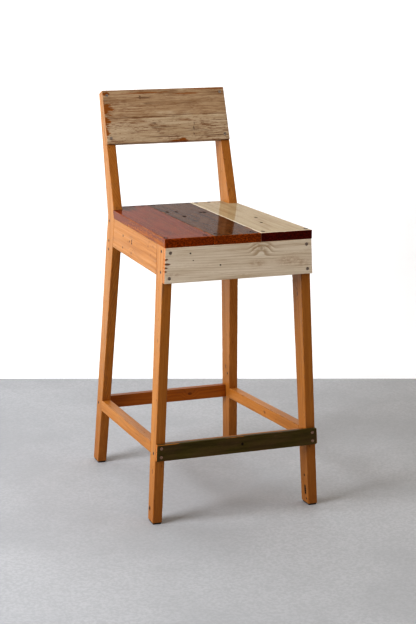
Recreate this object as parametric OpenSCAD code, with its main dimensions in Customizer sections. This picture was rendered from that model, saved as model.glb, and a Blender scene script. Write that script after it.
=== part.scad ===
// Counter stool with a low backrest and a footrest, built from reclaimed planks.
// Two splayed side frames are tied by front and back rails and stretchers. Three
// painted planks form the seat, and a weathered board is let into the leaning posts.

/* [Seat] */
// Height of the seat's top face above the floor
seat_height = 650; // [600:5:720]
// Width of the seat along its front edge
seat_front_width = 346; // [320:2:400]
// Depth of the seat from its front edge to its back edge
seat_depth = 468; // [460:1:472]
// Thickness of the seat planks
seat_thickness = 20; // [16:1:24]
// How far each seat edge stands proud of the frame's outer faces
seat_overhang = 1.5; // [0.5:0.5:4]
// Distance of the left seam from the centre line
left_seam = 60; // [50:1:66]
// Distance of the right seam from the centre line
right_seam = 51; // [48:1:60]
// Angle by which each side closes in towards the back
side_taper = 1.72; // [0:0.02:2]

/* [Legs] */
// Thickness of the leg planks, measured across the stool
leg_thickness = 22; // [20:1:26]
// Outward lean of the legs below the seat
leg_splay = 2.75; // [1:0.25:3.5]
// Depth of a front leg under the seat
front_leg_top_depth = 51; // [46:1:56]
// Depth of a front leg at the floor
front_leg_foot_depth = 37; // [34:1:44]
// Depth of a back leg at its bend
back_leg_bend_depth = 60; // [56:1:64]
// Depth of a back leg at the floor
back_leg_foot_depth = 41; // [38:1:48]
// Backward rake of the back legs below the seat
back_leg_rake = 6.9; // [4:0.1:9]
// Distance from the seat's front face to the bend of the back legs
bend_y = 413.5; // [410:0.5:415]

/* [Posts and backrest] */
// Backward lean of the posts above the seat
post_lean = 19.5; // [16:0.5:21]
// Length of a post from the bend to its top, along the lean
post_length = 312.5; // [290:0.5:340]
// Depth of a post at its top, square to its front face
post_top_depth = 24; // [22:1:30]
// Height of the backrest board along the lean
backrest_height = 132; // [110:1:150]
// Thickness of the backrest board
backrest_thickness = 16; // [14:1:18]
// How far the board stands proud of the posts
backrest_proud = 5; // [3:0.5:7]

/* [Rails] */
// Height of the side rails and of the inner front rail
rail_height = 70; // [64:1:76]
// Height of the back rail
back_rail_height = 90; // [86:1:96]
// Thickness of the front and back rails and of the front stretcher
rail_thickness = 24; // [22:1:26]
// Gap between the back rail and the rear face of the back legs
back_rail_inset = 4; // [2:1:8]
// Height of the painted board across the front legs
apron_height = 79; // [74:1:84]
// Thickness of the painted board across the front legs
apron_thickness = 13; // [12:0.5:15]

/* [Stretchers and footrest] */
// Height of the side stretchers' top edge at the front legs
side_stretcher_front = 184; // [175:1:190]
// Height of the side stretchers' top edge at the back legs
side_stretcher_back = 166; // [158:1:175]
// Height of a side stretcher's section
side_stretcher_height = 27; // [24:1:32]
// Height of the back stretcher's top edge
back_stretcher_top = 169; // [164:1:176]
// Height of the back stretcher's section
back_stretcher_height = 31; // [28:1:36]
// Thickness of the back stretcher
back_stretcher_thickness = 18; // [16:1:20]
// Height of the front stretcher's top edge
front_stretcher_top = 182; // [178:1:186]
// Height of the front stretcher's section
front_stretcher_height = 36; // [32:1:40]
// Height of the footrest strip's top edge
footrest_top = 187.5; // [184:0.5:192]
// Height of the footrest strip's section
footrest_height = 38; // [34:1:42]
// Thickness of the footrest strip
footrest_thickness = 10; // [8:0.5:12]

/* [Feet and fasteners] */
// Thickness of the foot glides
glide_thickness = 3; // [2:0.5:4]
// Gap between a glide's edge and the edge of its leg
glide_inset = 2; // [1:0.5:4]
// Diameter of the screw heads
screw_head_diameter = 7; // [6:0.5:8]
// Diameter of the screw shanks
screw_shank_diameter = 4; // [3:0.5:4]
// Diameter of the dowels
dowel_diameter = 8; // [6:1:10]
// Length of the dowels
dowel_length = 36; // [30:2:36]
// Diameter of the nail heads in the seat
nail_head_diameter = 4.5; // [3.5:0.5:5]

/* [Hidden] */
$fn = 32;

pine = "#b8702f";
shaded_pine = "#8a5122";
taupe_paint = "#8f8470";
cream_paint = "#c3b698";
olive_paint = "#34331f";
red_paint = "#6e2f1c";
grey_brown_paint = "#5a3d2a";
steel = "#5d5a55";
copper_steel = "#a8755f";
glide_black = "#1b1a19";
dowel_wood = "#d8b07a";

// Levels. The bend of the back legs lies at the seat's underside.
frame_top = seat_height - seat_thickness;
side_rail_bottom = frame_top - rail_height;
back_rail_bottom = frame_top - back_rail_height;

// Half width of the frame's outer faces at the front of the seat's underside
frame_half = seat_front_width / 2 - seat_overhang;

// Depths along Y, counted from the seat's front face
leg_front_y = apron_thickness;
rail_mid_y = leg_front_y + rail_thickness / 2 + 3.5;
front_stretcher_mid_y = rail_mid_y;
reach = 700;
spare = 60;

// Y of the leg edges at height z
function front_leg_rear_y(z) =
    leg_front_y + front_leg_foot_depth
    + (front_leg_top_depth - front_leg_foot_depth) * z / frame_top;
function back_leg_front_y(z) = bend_y + tan(back_leg_rake) * (frame_top - z);
function back_leg_rear_y(z) =
    back_leg_front_y(z) + back_leg_foot_depth
    + (back_leg_bend_depth - back_leg_foot_depth) * z / frame_top;

// Half width of the outer faces at depth y and height z, below the seat
function outer_half(y, z) =
    frame_half - tan(side_taper) * y + tan(leg_splay) * (frame_top - z);

// Point in the side view, s up the leaning post and d behind its front face
function post_point(s, d) = [
    bend_y + s * sin(post_lean) + d * cos(post_lean),
    frame_top + s * cos(post_lean) - d * sin(post_lean)
];

// The finished stool is centred between its front face and its rearmost point
back_y = post_point(post_length, post_top_depth)[0];
centre_y = back_y / 2;

back_rail_rear_y = back_leg_rear_y(frame_top) - back_rail_inset;
back_rail_front_y = back_rail_rear_y - rail_thickness;
back_rail_mid_y = back_rail_rear_y - rail_thickness / 2;
back_stretcher_rear_y = back_leg_rear_y(back_stretcher_top) - 3;
back_stretcher_mid_y = back_stretcher_rear_y - back_stretcher_thickness / 2;

// Fasteners: lengths and places
long_screw = 50;
short_screw = 24;
backrest_screw = 26;
head_sink = 0.3;
head_cone = 2.4;
head_rim = 0.6;
shank_radius = screw_shank_diameter / 2;
head_radius = screw_head_diameter / 2;
nail_length = 42;
nail_radius = 1.25;
glide_nail_length = 16;
apron_screw_rows = [[618.5, 12], [562.5, 11.5]];
footrest_screw_rows = [178.5, 158.5];
front_rail_screw_rows = [618, 572];
back_rail_screw_rows = [618, 570, 549];
seat_edge_screw_z = 637;
front_stretcher_screw_z = 162;
back_stretcher_screw_z = 153;
backrest_screw_rows = [14, backrest_height - 12];
seat_nail_spots = [
    [-166, 15], [-74, 19], [-46, 25], [37, 22], [63, 20], [166, 20],
    [-98, 459], [-74, 456], [-48, 454], [43, 461], [65, 458], [97, 457]
];
side_rail_dowel_rows = [side_rail_bottom + 18, side_rail_bottom + 52];

// Cross-section extruded along X. The outline's points are [y, z].
module along_x(from, to) {
    translate([from, 0, 0])
        rotate([90, 0, 90])
            linear_extrude(height = to - from)
                children();
}

// Draws its children for the left side, or mirrored for the right side.
module on_side(right) {
    if (right)
        mirror([1, 0, 0]) children();
    else
        children();
}

// Places the design, drawn from the seat's front face, in the stool's own frame.
module placed() {
    translate([0, -centre_y, 0]) children();
}

// Slab that holds every piece of the left side frame. Its outer face leans out
// below the seat, is upright above it and closes in towards the back.
module side_slab(thickness = leg_thickness, inset = 0) {
    foot_out = tan(leg_splay) * frame_top;
    translate([-frame_half, 0, 0])
        rotate([0, 0, -side_taper])
            translate([inset, reach, 0])
                rotate([90, 0, 0])
                    linear_extrude(height = reach + spare)
                        polygon([
                            [-foot_out, 0],
                            [0, frame_top],
                            [0, reach + 2 * spare + 200],
                            [thickness, reach + 2 * spare + 200],
                            [thickness, frame_top],
                            [thickness - foot_out, 0]
                        ]);
}

// Everything between the inner faces of the two side frames.
module inner_space() {
    intersection() {
        side_slab(thickness = 3 * frame_half, inset = leg_thickness);
        mirror([1, 0, 0]) side_slab(thickness = 3 * frame_half, inset = leg_thickness);
    }
}

// Everything between the outer faces of the two side frames.
module outer_space() {
    intersection() {
        side_slab(thickness = 3 * frame_half);
        mirror([1, 0, 0]) side_slab(thickness = 3 * frame_half);
    }
}

// Piece of the left side frame with the given side-view outline.
module side_frame_piece() {
    intersection() {
        side_slab();
        along_x(-frame_half - spare, 0) children();
    }
}

// Moves to the left outer face at depth y and height z, with Z pointing out of it.
module on_outer_face(y, z) {
    lean = z < frame_top ? leg_splay : 0;
    out = z < frame_top ? outer_half(y, z) : outer_half(y, frame_top);
    translate([-out, y, z])
        rotate([0, 0, -side_taper])
            rotate([0, lean - 90, 0])
                children();
}

// Moves to the backrest board's front face, s above the bend, Z pointing out of it.
module on_backrest(x, s) {
    spot = post_point(s, -backrest_proud);
    translate([x, spot[0], spot[1]])
        rotate([90 - post_lean, 0, 0])
            children();
}

// Outline of a countersunk screw: head under the face, cone, shank and point.
module screw_outline(length, top) {
    polygon([
        [0, top],
        [head_radius, top],
        [head_radius, -head_sink - head_rim],
        [shank_radius, -head_sink - head_cone],
        [shank_radius, -length + 4],
        [0.3, -length],
        [0, -length]
    ]);
}

// Countersunk screw that points down -Z, with a cross recess.
module screw(length) {
    difference() {
        rotate_extrude() screw_outline(length, -head_sink);
        for (turn = [20, 110])
            rotate([0, 0, turn])
                translate([-head_radius * 0.55, -0.45, -head_sink - 1.3])
                    cube([head_radius * 1.1, 0.9, 2]);
    }
}

// Room for a screw, open to the face that it goes in through.
module screw_room(length) {
    rotate_extrude() screw_outline(length, 2);
}

// Nail with a flat head flush with the face at Z = 0, pointing down -Z.
module nail(length, head_diameter, top = 0) {
    rotate_extrude()
        polygon([
            [0, top],
            [head_diameter / 2, top],
            [head_diameter / 2, -1.2],
            [nail_radius, -1.2],
            [nail_radius, -length + 3],
            [0.2, -length],
            [0, -length]
        ]);
}

// Side-view outlines, as [y, z].
module front_leg_outline() {
    polygon([
        [leg_front_y, glide_thickness],
        [front_leg_rear_y(glide_thickness), glide_thickness],
        [front_leg_rear_y(frame_top), frame_top],
        [leg_front_y, frame_top]
    ]);
}

module back_leg_outline() {
    polygon([
        [back_leg_front_y(glide_thickness), glide_thickness],
        [back_leg_rear_y(glide_thickness), glide_thickness],
        [back_leg_rear_y(frame_top), frame_top],
        post_point(post_length, post_top_depth),
        post_point(post_length, 0),
        [bend_y, frame_top]
    ]);
}

module side_rail_outline() {
    polygon([
        [front_leg_rear_y(side_rail_bottom), side_rail_bottom],
        [back_leg_front_y(side_rail_bottom), side_rail_bottom],
        [back_leg_front_y(frame_top), frame_top],
        [front_leg_rear_y(frame_top), frame_top]
    ]);
}

// The stretcher's edges run between the slanted leg faces, down towards the back.
module side_stretcher_outline() {
    front_bottom = side_stretcher_front - side_stretcher_height;
    back_bottom = side_stretcher_back - side_stretcher_height;
    polygon([
        [front_leg_rear_y(front_bottom), front_bottom],
        [back_leg_front_y(back_bottom), back_bottom],
        [back_leg_front_y(side_stretcher_back), side_stretcher_back],
        [front_leg_rear_y(side_stretcher_front), side_stretcher_front]
    ]);
}

// Board with a rectangular section between depths and heights, across the stool.
module cross_board(front, rear, bottom, top) {
    translate([-frame_half - spare, front, bottom])
        cube([2 * (frame_half + spare), rear - front, top - bottom]);
}

// Backrest board before its ends are trimmed flush with the posts.
module backrest_blank() {
    translate([0, bend_y, frame_top])
        rotate([-post_lean, 0, 0])
            translate([-frame_half, -backrest_proud, post_length - backrest_height])
                cube([2 * frame_half, backrest_thickness, backrest_height]);
}

// Fastener rooms of the left side, used both for the pieces and for their holes.
module at_front_rail_screws() {
    for (z = front_rail_screw_rows) on_outer_face(rail_mid_y, z) children();
}

module at_back_rail_screws() {
    for (z = back_rail_screw_rows) on_outer_face(back_rail_mid_y, z) children();
}

module at_seat_edge_screw() {
    on_outer_face(back_rail_mid_y, seat_edge_screw_z) children();
}

module at_front_stretcher_screw() {
    on_outer_face(front_stretcher_mid_y, front_stretcher_screw_z) children();
}

module at_back_stretcher_screw() {
    on_outer_face(back_stretcher_mid_y, back_stretcher_screw_z) children();
}

module at_apron_screws() {
    for (row = apron_screw_rows)
        translate([-outer_half(0, row[0]) + row[1], 0, row[0]])
            rotate([90, 0, 0])
                children();
}

module at_footrest_screws() {
    for (z = footrest_screw_rows)
        translate([-outer_half(0, z) + leg_thickness / 2, leg_front_y - footrest_thickness, z])
            rotate([90, 0, 0])
                children();
}

module at_backrest_screws() {
    for (row = backrest_screw_rows) {
        s = post_length - backrest_height + row;
        spot = post_point(s, 0);
        on_backrest(-outer_half(spot[0], frame_top) + leg_thickness / 2, s) children();
    }
}

// Moves to a dowel's middle on the left side frame, with Z along the dowel.
module at_dowel(y, z, tilt = 0) {
    middle = leg_thickness / 2;
    translate([-outer_half(y, z) + middle, y, z])
        rotate([0, 0, -side_taper])
            rotate([-90 + tilt, 0, 0])
                children();
}

module at_side_rail_dowels() {
    for (z = side_rail_dowel_rows) {
        at_dowel(front_leg_rear_y(z), z) children();
        at_dowel(back_leg_front_y(z), z) children();
    }
}

module at_side_stretcher_dowels() {
    half = side_stretcher_height / 2;
    front_z = side_stretcher_front - half;
    back_z = side_stretcher_back - half;
    run = back_leg_front_y(back_z) - front_leg_rear_y(front_z);
    slope = atan((front_z - back_z) / run);
    at_dowel(front_leg_rear_y(front_z), front_z, -slope) children();
    at_dowel(back_leg_front_y(back_z), back_z, -slope) children();
}

module dowel() {
    cylinder(d = dowel_diameter, h = dowel_length, center = true);
}

module at_seat_nails() {
    for (spot = seat_nail_spots)
        translate([spot[0], spot[1], seat_height]) children();
}

// Middle of a left leg's foot, front or back, at the floor.
function foot_middle(back) =
    let (front_y = back ? back_leg_front_y(0) : leg_front_y)
    let (rear_y = back ? back_leg_rear_y(0) : front_leg_rear_y(0))
    let (y = (front_y + rear_y) / 2)
    [-outer_half(y, 0) + leg_thickness / 2, y];

module at_foot(back) {
    spot = foot_middle(back);
    translate([spot[0], spot[1], 0])
        rotate([0, 0, -side_taper])
            children();
}

module glide_nail_shape() {
    translate([0, 0, 1])
        mirror([0, 0, 1])
            nail(glide_nail_length, 4);
}

// Legs
module front_leg(right) {
    color(pine)
        difference() {
            side_frame_piece() front_leg_outline();
            at_front_rail_screws() screw_room(long_screw);
            at_front_stretcher_screw() screw_room(long_screw);
            at_apron_screws() screw_room(short_screw);
            at_footrest_screws() screw_room(short_screw);
            at_side_rail_dowels() dowel();
            at_side_stretcher_dowels() dowel();
            on_side(right) at_seat_nails() nail(nail_length, nail_head_diameter);
            at_foot(false) glide_nail_shape();
        }
}

module back_leg() {
    color(pine)
        difference() {
            side_frame_piece() back_leg_outline();
            backrest_blank();
            at_back_rail_screws() screw_room(long_screw);
            at_seat_edge_screw() screw_room(long_screw);
            at_back_stretcher_screw() screw_room(long_screw);
            at_backrest_screws() screw_room(backrest_screw);
            at_side_rail_dowels() dowel();
            at_side_stretcher_dowels() dowel();
            at_foot(true) glide_nail_shape();
        }
}

module front_left_leg() placed() on_side(false) front_leg(false);
module front_right_leg() placed() on_side(true) front_leg(true);
module back_left_leg() placed() on_side(false) back_leg();
module back_right_leg() placed() on_side(true) back_leg();

// Side rails and stretchers
module side_rail() {
    color(pine)
        difference() {
            side_frame_piece() side_rail_outline();
            at_side_rail_dowels() dowel();
        }
}

module side_stretcher() {
    color(pine)
        difference() {
            side_frame_piece() side_stretcher_outline();
            at_side_stretcher_dowels() dowel();
        }
}

module left_side_rail() placed() side_rail();
module right_side_rail() placed() on_side(true) side_rail();
module left_side_stretcher() placed() side_stretcher();
module right_side_stretcher() placed() on_side(true) side_stretcher();

// Rails and stretchers between the side frames
module front_rail() {
    color(shaded_pine)
        placed()
            difference() {
                intersection() {
                    cross_board(leg_front_y, leg_front_y + rail_thickness, side_rail_bottom, frame_top);
                    inner_space();
                }
                for (right = [false, true])
                    on_side(right) at_front_rail_screws() screw_room(long_screw);
                at_seat_nails() nail(nail_length, nail_head_diameter);
            }
}

module back_rail() {
    color(shaded_pine)
        placed()
            difference() {
                intersection() {
                    cross_board(back_rail_front_y, back_rail_rear_y, back_rail_bottom, frame_top);
                    inner_space();
                }
                for (right = [false, true])
                    on_side(right) at_back_rail_screws() screw_room(long_screw);
                at_seat_nails() nail(nail_length, nail_head_diameter);
            }
}

module front_stretcher() {
    color(pine)
        placed()
            difference() {
                intersection() {
                    cross_board(
                        leg_front_y, leg_front_y + rail_thickness,
                        front_stretcher_top - front_stretcher_height, front_stretcher_top
                    );
                    inner_space();
                }
                for (right = [false, true])
                    on_side(right) at_front_stretcher_screw() screw_room(long_screw);
            }
}

module back_stretcher() {
    color(shaded_pine)
        placed()
            difference() {
                intersection() {
                    cross_board(
                        back_stretcher_rear_y - back_stretcher_thickness, back_stretcher_rear_y,
                        back_stretcher_top - back_stretcher_height, back_stretcher_top
                    );
                    inner_space();
                }
                for (right = [false, true])
                    on_side(right) at_back_stretcher_screw() screw_room(long_screw);
            }
}

// Painted boards over the front legs
module front_apron_board() {
    color(cream_paint)
        placed()
            difference() {
                intersection() {
                    cross_board(0, apron_thickness, frame_top - apron_height, frame_top);
                    outer_space();
                }
                for (right = [false, true])
                    on_side(right) at_apron_screws() screw_room(short_screw);
            }
}

module footrest_strip() {
    color(olive_paint)
        placed()
            difference() {
                intersection() {
                    cross_board(
                        leg_front_y - footrest_thickness, leg_front_y,
                        footrest_top - footrest_height, footrest_top
                    );
                    outer_space();
                }
                for (right = [false, true])
                    on_side(right) at_footrest_screws() screw_room(short_screw);
            }
}

// Seat planks. The outer planks are notched around the posts.
module seat_blank() {
    translate([0, 0, frame_top])
        linear_extrude(height = seat_thickness)
            polygon([
                [-seat_front_width / 2, 0],
                [seat_front_width / 2, 0],
                [seat_front_width / 2 - tan(side_taper) * seat_depth, seat_depth],
                [-seat_front_width / 2 + tan(side_taper) * seat_depth, seat_depth]
            ]);
}

module post_notch() {
    intersection() {
        side_slab(thickness = leg_thickness + spare, inset = -spare);
        along_x(-frame_half - 2 * spare, 0)
            polygon([
                post_point(-20, 0),
                post_point(60, 0),
                [bend_y + 120, seat_height + 20],
                [bend_y + 120, frame_top - 20]
            ]);
    }
}

module seat_plank(from, to) {
    placed()
        difference() {
            intersection() {
                seat_blank();
                translate([from, -1, frame_top - 1])
                    cube([to - from, seat_depth + 2, seat_thickness + 2]);
            }
            for (right = [false, true])
                on_side(right) {
                    post_notch();
                    at_seat_edge_screw() screw_room(long_screw);
                }
            at_seat_nails() nail(nail_length, nail_head_diameter, top = 1);
        }
}

module seat_plank_left() color(red_paint) seat_plank(-seat_front_width, -left_seam);
module seat_plank_middle() color(grey_brown_paint) seat_plank(-left_seam, right_seam);
module seat_plank_right() color(cream_paint) seat_plank(right_seam, seat_front_width);

// Backrest
module backrest_board() {
    color(taupe_paint)
        placed()
            difference() {
                intersection() {
                    backrest_blank();
                    outer_space();
                }
                for (right = [false, true])
                    on_side(right) at_backrest_screws() screw_room(backrest_screw);
            }
}

// Foot glides, nailed under the legs
module glide(back) {
    depth = back ? back_leg_foot_depth : front_leg_foot_depth;
    color(glide_black)
        at_foot(back)
            difference() {
                translate([-leg_thickness / 2 + glide_inset, -depth / 2 + glide_inset, 0])
                    cube([leg_thickness - 2 * glide_inset, depth - 2 * glide_inset, glide_thickness]);
                glide_nail_shape();
                translate([0, 0, -1])
                    cylinder(d = 4, h = 2.5);
            }
}

module front_left_glide() placed() glide(false);
module front_right_glide() placed() on_side(true) glide(false);
module back_left_glide() placed() glide(true);
module back_right_glide() placed() on_side(true) glide(true);

// Fasteners, each kind on both sides
module backrest_screws() {
    color(steel)
        placed()
            for (right = [false, true])
                on_side(right) at_backrest_screws() screw(backrest_screw);
}

module apron_screws() {
    color(steel)
        placed()
            for (right = [false, true])
                on_side(right) at_apron_screws() screw(short_screw);
}

module footrest_screws() {
    color(copper_steel)
        placed()
            for (right = [false, true])
                on_side(right) at_footrest_screws() screw(short_screw);
}

module front_rail_screws() {
    color(steel)
        placed()
            for (right = [false, true])
                on_side(right) at_front_rail_screws() screw(long_screw);
}

module back_rail_screws() {
    color(steel)
        placed()
            for (right = [false, true])
                on_side(right) at_back_rail_screws() screw(long_screw);
}

module seat_edge_screws() {
    color(steel)
        placed()
            for (right = [false, true])
                on_side(right) at_seat_edge_screw() screw(long_screw);
}

module front_stretcher_screws() {
    color(steel)
        placed()
            for (right = [false, true])
                on_side(right) at_front_stretcher_screw() screw(long_screw);
}

module back_stretcher_screws() {
    color(steel)
        placed()
            for (right = [false, true])
                on_side(right) at_back_stretcher_screw() screw(long_screw);
}

module seat_nails() {
    color(steel)
        placed()
            at_seat_nails() nail(nail_length, nail_head_diameter);
}

module side_rail_dowels() {
    color(dowel_wood)
        placed()
            for (right = [false, true])
                on_side(right) at_side_rail_dowels() dowel();
}

module side_stretcher_dowels() {
    color(dowel_wood)
        placed()
            for (right = [false, true])
                on_side(right) at_side_stretcher_dowels() dowel();
}

module glide_nails() {
    color(steel)
        placed()
            for (right = [false, true])
                for (back = [false, true])
                    on_side(right) at_foot(back) glide_nail_shape();
}

front_left_leg();
front_right_leg();
back_left_leg();
back_right_leg();
left_side_rail();
right_side_rail();
front_rail();
back_rail();
front_apron_board();
left_side_stretcher();
right_side_stretcher();
front_stretcher();
back_stretcher();
footrest_strip();
seat_plank_left();
seat_plank_middle();
seat_plank_right();
backrest_board();
front_left_glide();
front_right_glide();
back_left_glide();
back_right_glide();
backrest_screws();
apron_screws();
footrest_screws();
front_rail_screws();
back_rail_screws();
seat_edge_screws();
front_stretcher_screws();
back_stretcher_screws();
seat_nails();
side_rail_dowels();
side_stretcher_dowels();
glide_nails();
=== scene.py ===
"""Looks of the reclaimed-plank counter stool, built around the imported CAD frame.

Every visible wooden piece is a lofted board with worn, rounded edges, real screw
recesses and nail holes, made from the corners of its CAD node. Metres throughout.
"""

import math
from functools import partial, reduce

import bpy
import numpy as np
from mathutils import Matrix, Vector, noise
from mathutils.kdtree import KDTree


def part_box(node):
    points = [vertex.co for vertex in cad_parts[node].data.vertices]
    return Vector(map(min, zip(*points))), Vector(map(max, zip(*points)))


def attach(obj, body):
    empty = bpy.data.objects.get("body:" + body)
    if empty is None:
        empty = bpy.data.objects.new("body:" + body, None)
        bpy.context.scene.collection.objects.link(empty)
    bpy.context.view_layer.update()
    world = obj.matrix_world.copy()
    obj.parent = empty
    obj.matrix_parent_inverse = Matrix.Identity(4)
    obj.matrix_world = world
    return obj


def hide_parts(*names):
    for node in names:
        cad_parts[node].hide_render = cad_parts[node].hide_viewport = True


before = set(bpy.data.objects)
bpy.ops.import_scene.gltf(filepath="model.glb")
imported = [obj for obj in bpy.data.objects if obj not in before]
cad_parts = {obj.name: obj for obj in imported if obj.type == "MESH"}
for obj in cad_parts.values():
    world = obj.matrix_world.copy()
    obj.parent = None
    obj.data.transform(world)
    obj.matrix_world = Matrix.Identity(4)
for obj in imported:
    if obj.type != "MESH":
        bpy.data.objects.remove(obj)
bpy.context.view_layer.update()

MM = 0.001
UP = Vector((0, 0, 1))
FORWARD = Vector((0, -1, 0))
BACKWARD = Vector((0, 1, 0))
LEFT = Vector((-1, 0, 0))
RIGHT = Vector((1, 0, 0))
SIDES = ((LEFT, "left"), (RIGHT, "right"))

FRAME_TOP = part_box("seat_plank_middle")[0].z
FRONT_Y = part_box("front_apron_board")[0].y


# ---------------------------------------------------------------- CAD corners

def mesh_points(mesh):
    """Vertices of a mesh, as an array."""
    points = np.empty(len(mesh.vertices) * 3)
    mesh.vertices.foreach_get("co", points)
    return points.reshape(-1, 3)


def node_points(node):
    return mesh_points(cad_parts[node].data)


def corner(points, along, across, out, signs):
    """The vertex furthest out along three signed axes, each weighed by its own extent."""
    score = np.zeros(len(points))
    for axis, sign in zip((along, across, out), signs):
        reach = points @ np.array(axis)
        score += sign * reach / (np.ptp(reach) + 1e-9)
    return Vector(points[int(np.argmax(score))])


RING = ((-1, -1), (1, -1), (1, 1), (-1, 1))


def board_stations(node, along, out):
    """The two end rectangles of a straight board, as lists of four corners."""
    points = node_points(node)
    across = out.cross(along)
    return [
        [corner(points, along, across, out, (end, a, o)) for a, o in RING]
        for end in (-1, 1)
    ]


def level_ring(points, level, across, out):
    """Corner ring of a leg at one of its horizontal sections."""
    near = points[np.abs(points[:, 2] - level) < 0.5 * MM]
    return [corner(near, UP, across, out, (0, a, o)) for a, o in RING]


def backrest_up(side):
    """Unit vector up the end edge of the backrest board next to one post."""
    ring = BACKREST[0] if side is LEFT else BACKREST[1]
    return (ring[2] - ring[3]).normalized()


BACKREST = board_stations("backrest_board", RIGHT, FORWARD)


def back_leg_stations(node, side):
    """Foot, bend and top rings of a back leg, the top one as if the post had no rebate."""
    points = node_points(node)
    across = side.cross(UP)
    foot = level_ring(points, points[:, 2].min(), across, side)
    bend = level_ring(points, FRAME_TOP, across, side)
    up = backrest_up(side)
    rear = points[points[:, 1] > points[:, 1].max() - 0.1 * MM]
    top = []
    for (a, o), low in zip(RING, bend):
        rear_top = corner(rear, UP, across, side, (0, 0, o))
        if a * across.y > 0:
            top.append(rear_top)
        else:
            top.append(low + up * ((rear_top - low).dot(up) / up.dot(up)))
    return [foot, bend, top]


def seat_stations(node, side=None):
    """Front and back rings of a seat plank, as if it had no notch for the post."""
    rings = board_stations(node, BACKWARD, UP)
    if side is None:
        return rings
    points = node_points(node)
    front_y, back_y = rings[0][0].y, points[:, 1].max()
    post_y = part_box("back_left_leg")[0].y
    edge = [i for i, p in enumerate(rings[0]) if p.x * side.x > abs(rings[0][0].x + rings[0][1].x) / 2]
    near = points[(np.abs(points[:, 1] - post_y) < 0.1 * MM)]
    outer = near[np.argmax(near[:, 0] * side.x)]
    slope = (outer[0] - rings[0][edge[0]].x) / (outer[1] - front_y)
    for i in edge:
        start = rings[0][i]
        rings[1][i] = Vector((start.x + slope * (back_y - front_y), back_y, start.z))
    return rings


# ---------------------------------------------------------------- board meshes

# Distances in mm of the first mesh loops from an edge, and the spacing of the loops between
EDGE_LOOPS = (0.0, 0.5, 1.1, 2.0, 3.6, 7.0)
LOOP_STEP = 5 * MM
# Depth of the chips in an edge and of the waves in a face, and how far an edge's wear reaches
CHIP_DEPTH = 1.2 * MM
RIPPLE_DEPTH = 0.12 * MM
WEAR_REACH = 14 * MM


def lattice(size):
    """Distances from 0 to size: close together near both ends, a step apart between."""
    near = [d * MM for d in EDGE_LOOPS if d * MM < size * 0.4]
    middle = np.arange(near[-1] + LOOP_STEP, size - near[-1] - LOOP_STEP * 0.4, LOOP_STEP)
    return np.array(near + list(middle) + [size - d for d in reversed(near)])


def wear_radius(point, base):
    """Radius of a worn edge at a point: uneven, with a few deeper chips."""
    slow = noise.noise(point * 23.0) * 0.5 + noise.noise(point * 71.0) * 0.35
    chip = max(0.0, noise.noise(point * 118.0 + Vector((7, 3, 1))) - 0.42) * 5.0
    return base * max(0.45, 1.0 + slow) + CHIP_DEPTH * chip


def local_frame(start, finish, ring):
    """Matrix of a board's own frame: X along the board and Z out of its best face."""
    along = (finish - start).normalized()
    out = (ring[3] - ring[0]).normalized()
    out = (out - along * out.dot(along)).normalized()
    matrix = Matrix((along, out.cross(along), out)).transposed().to_4x4()
    matrix.translation = start
    return matrix


def ripple(mesh, matrix):
    """Sinks the surface by slow, shallow waves."""
    normals = [Vector(v.normal) for v in mesh.vertices]
    for v, normal in zip(mesh.vertices, normals):
        depth = 0.5 + 0.5 * noise.noise((matrix @ v.co) * 14)
        v.co -= normal * RIPPLE_DEPTH * min(1.0, max(0.0, depth))
    mesh.update()


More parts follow.
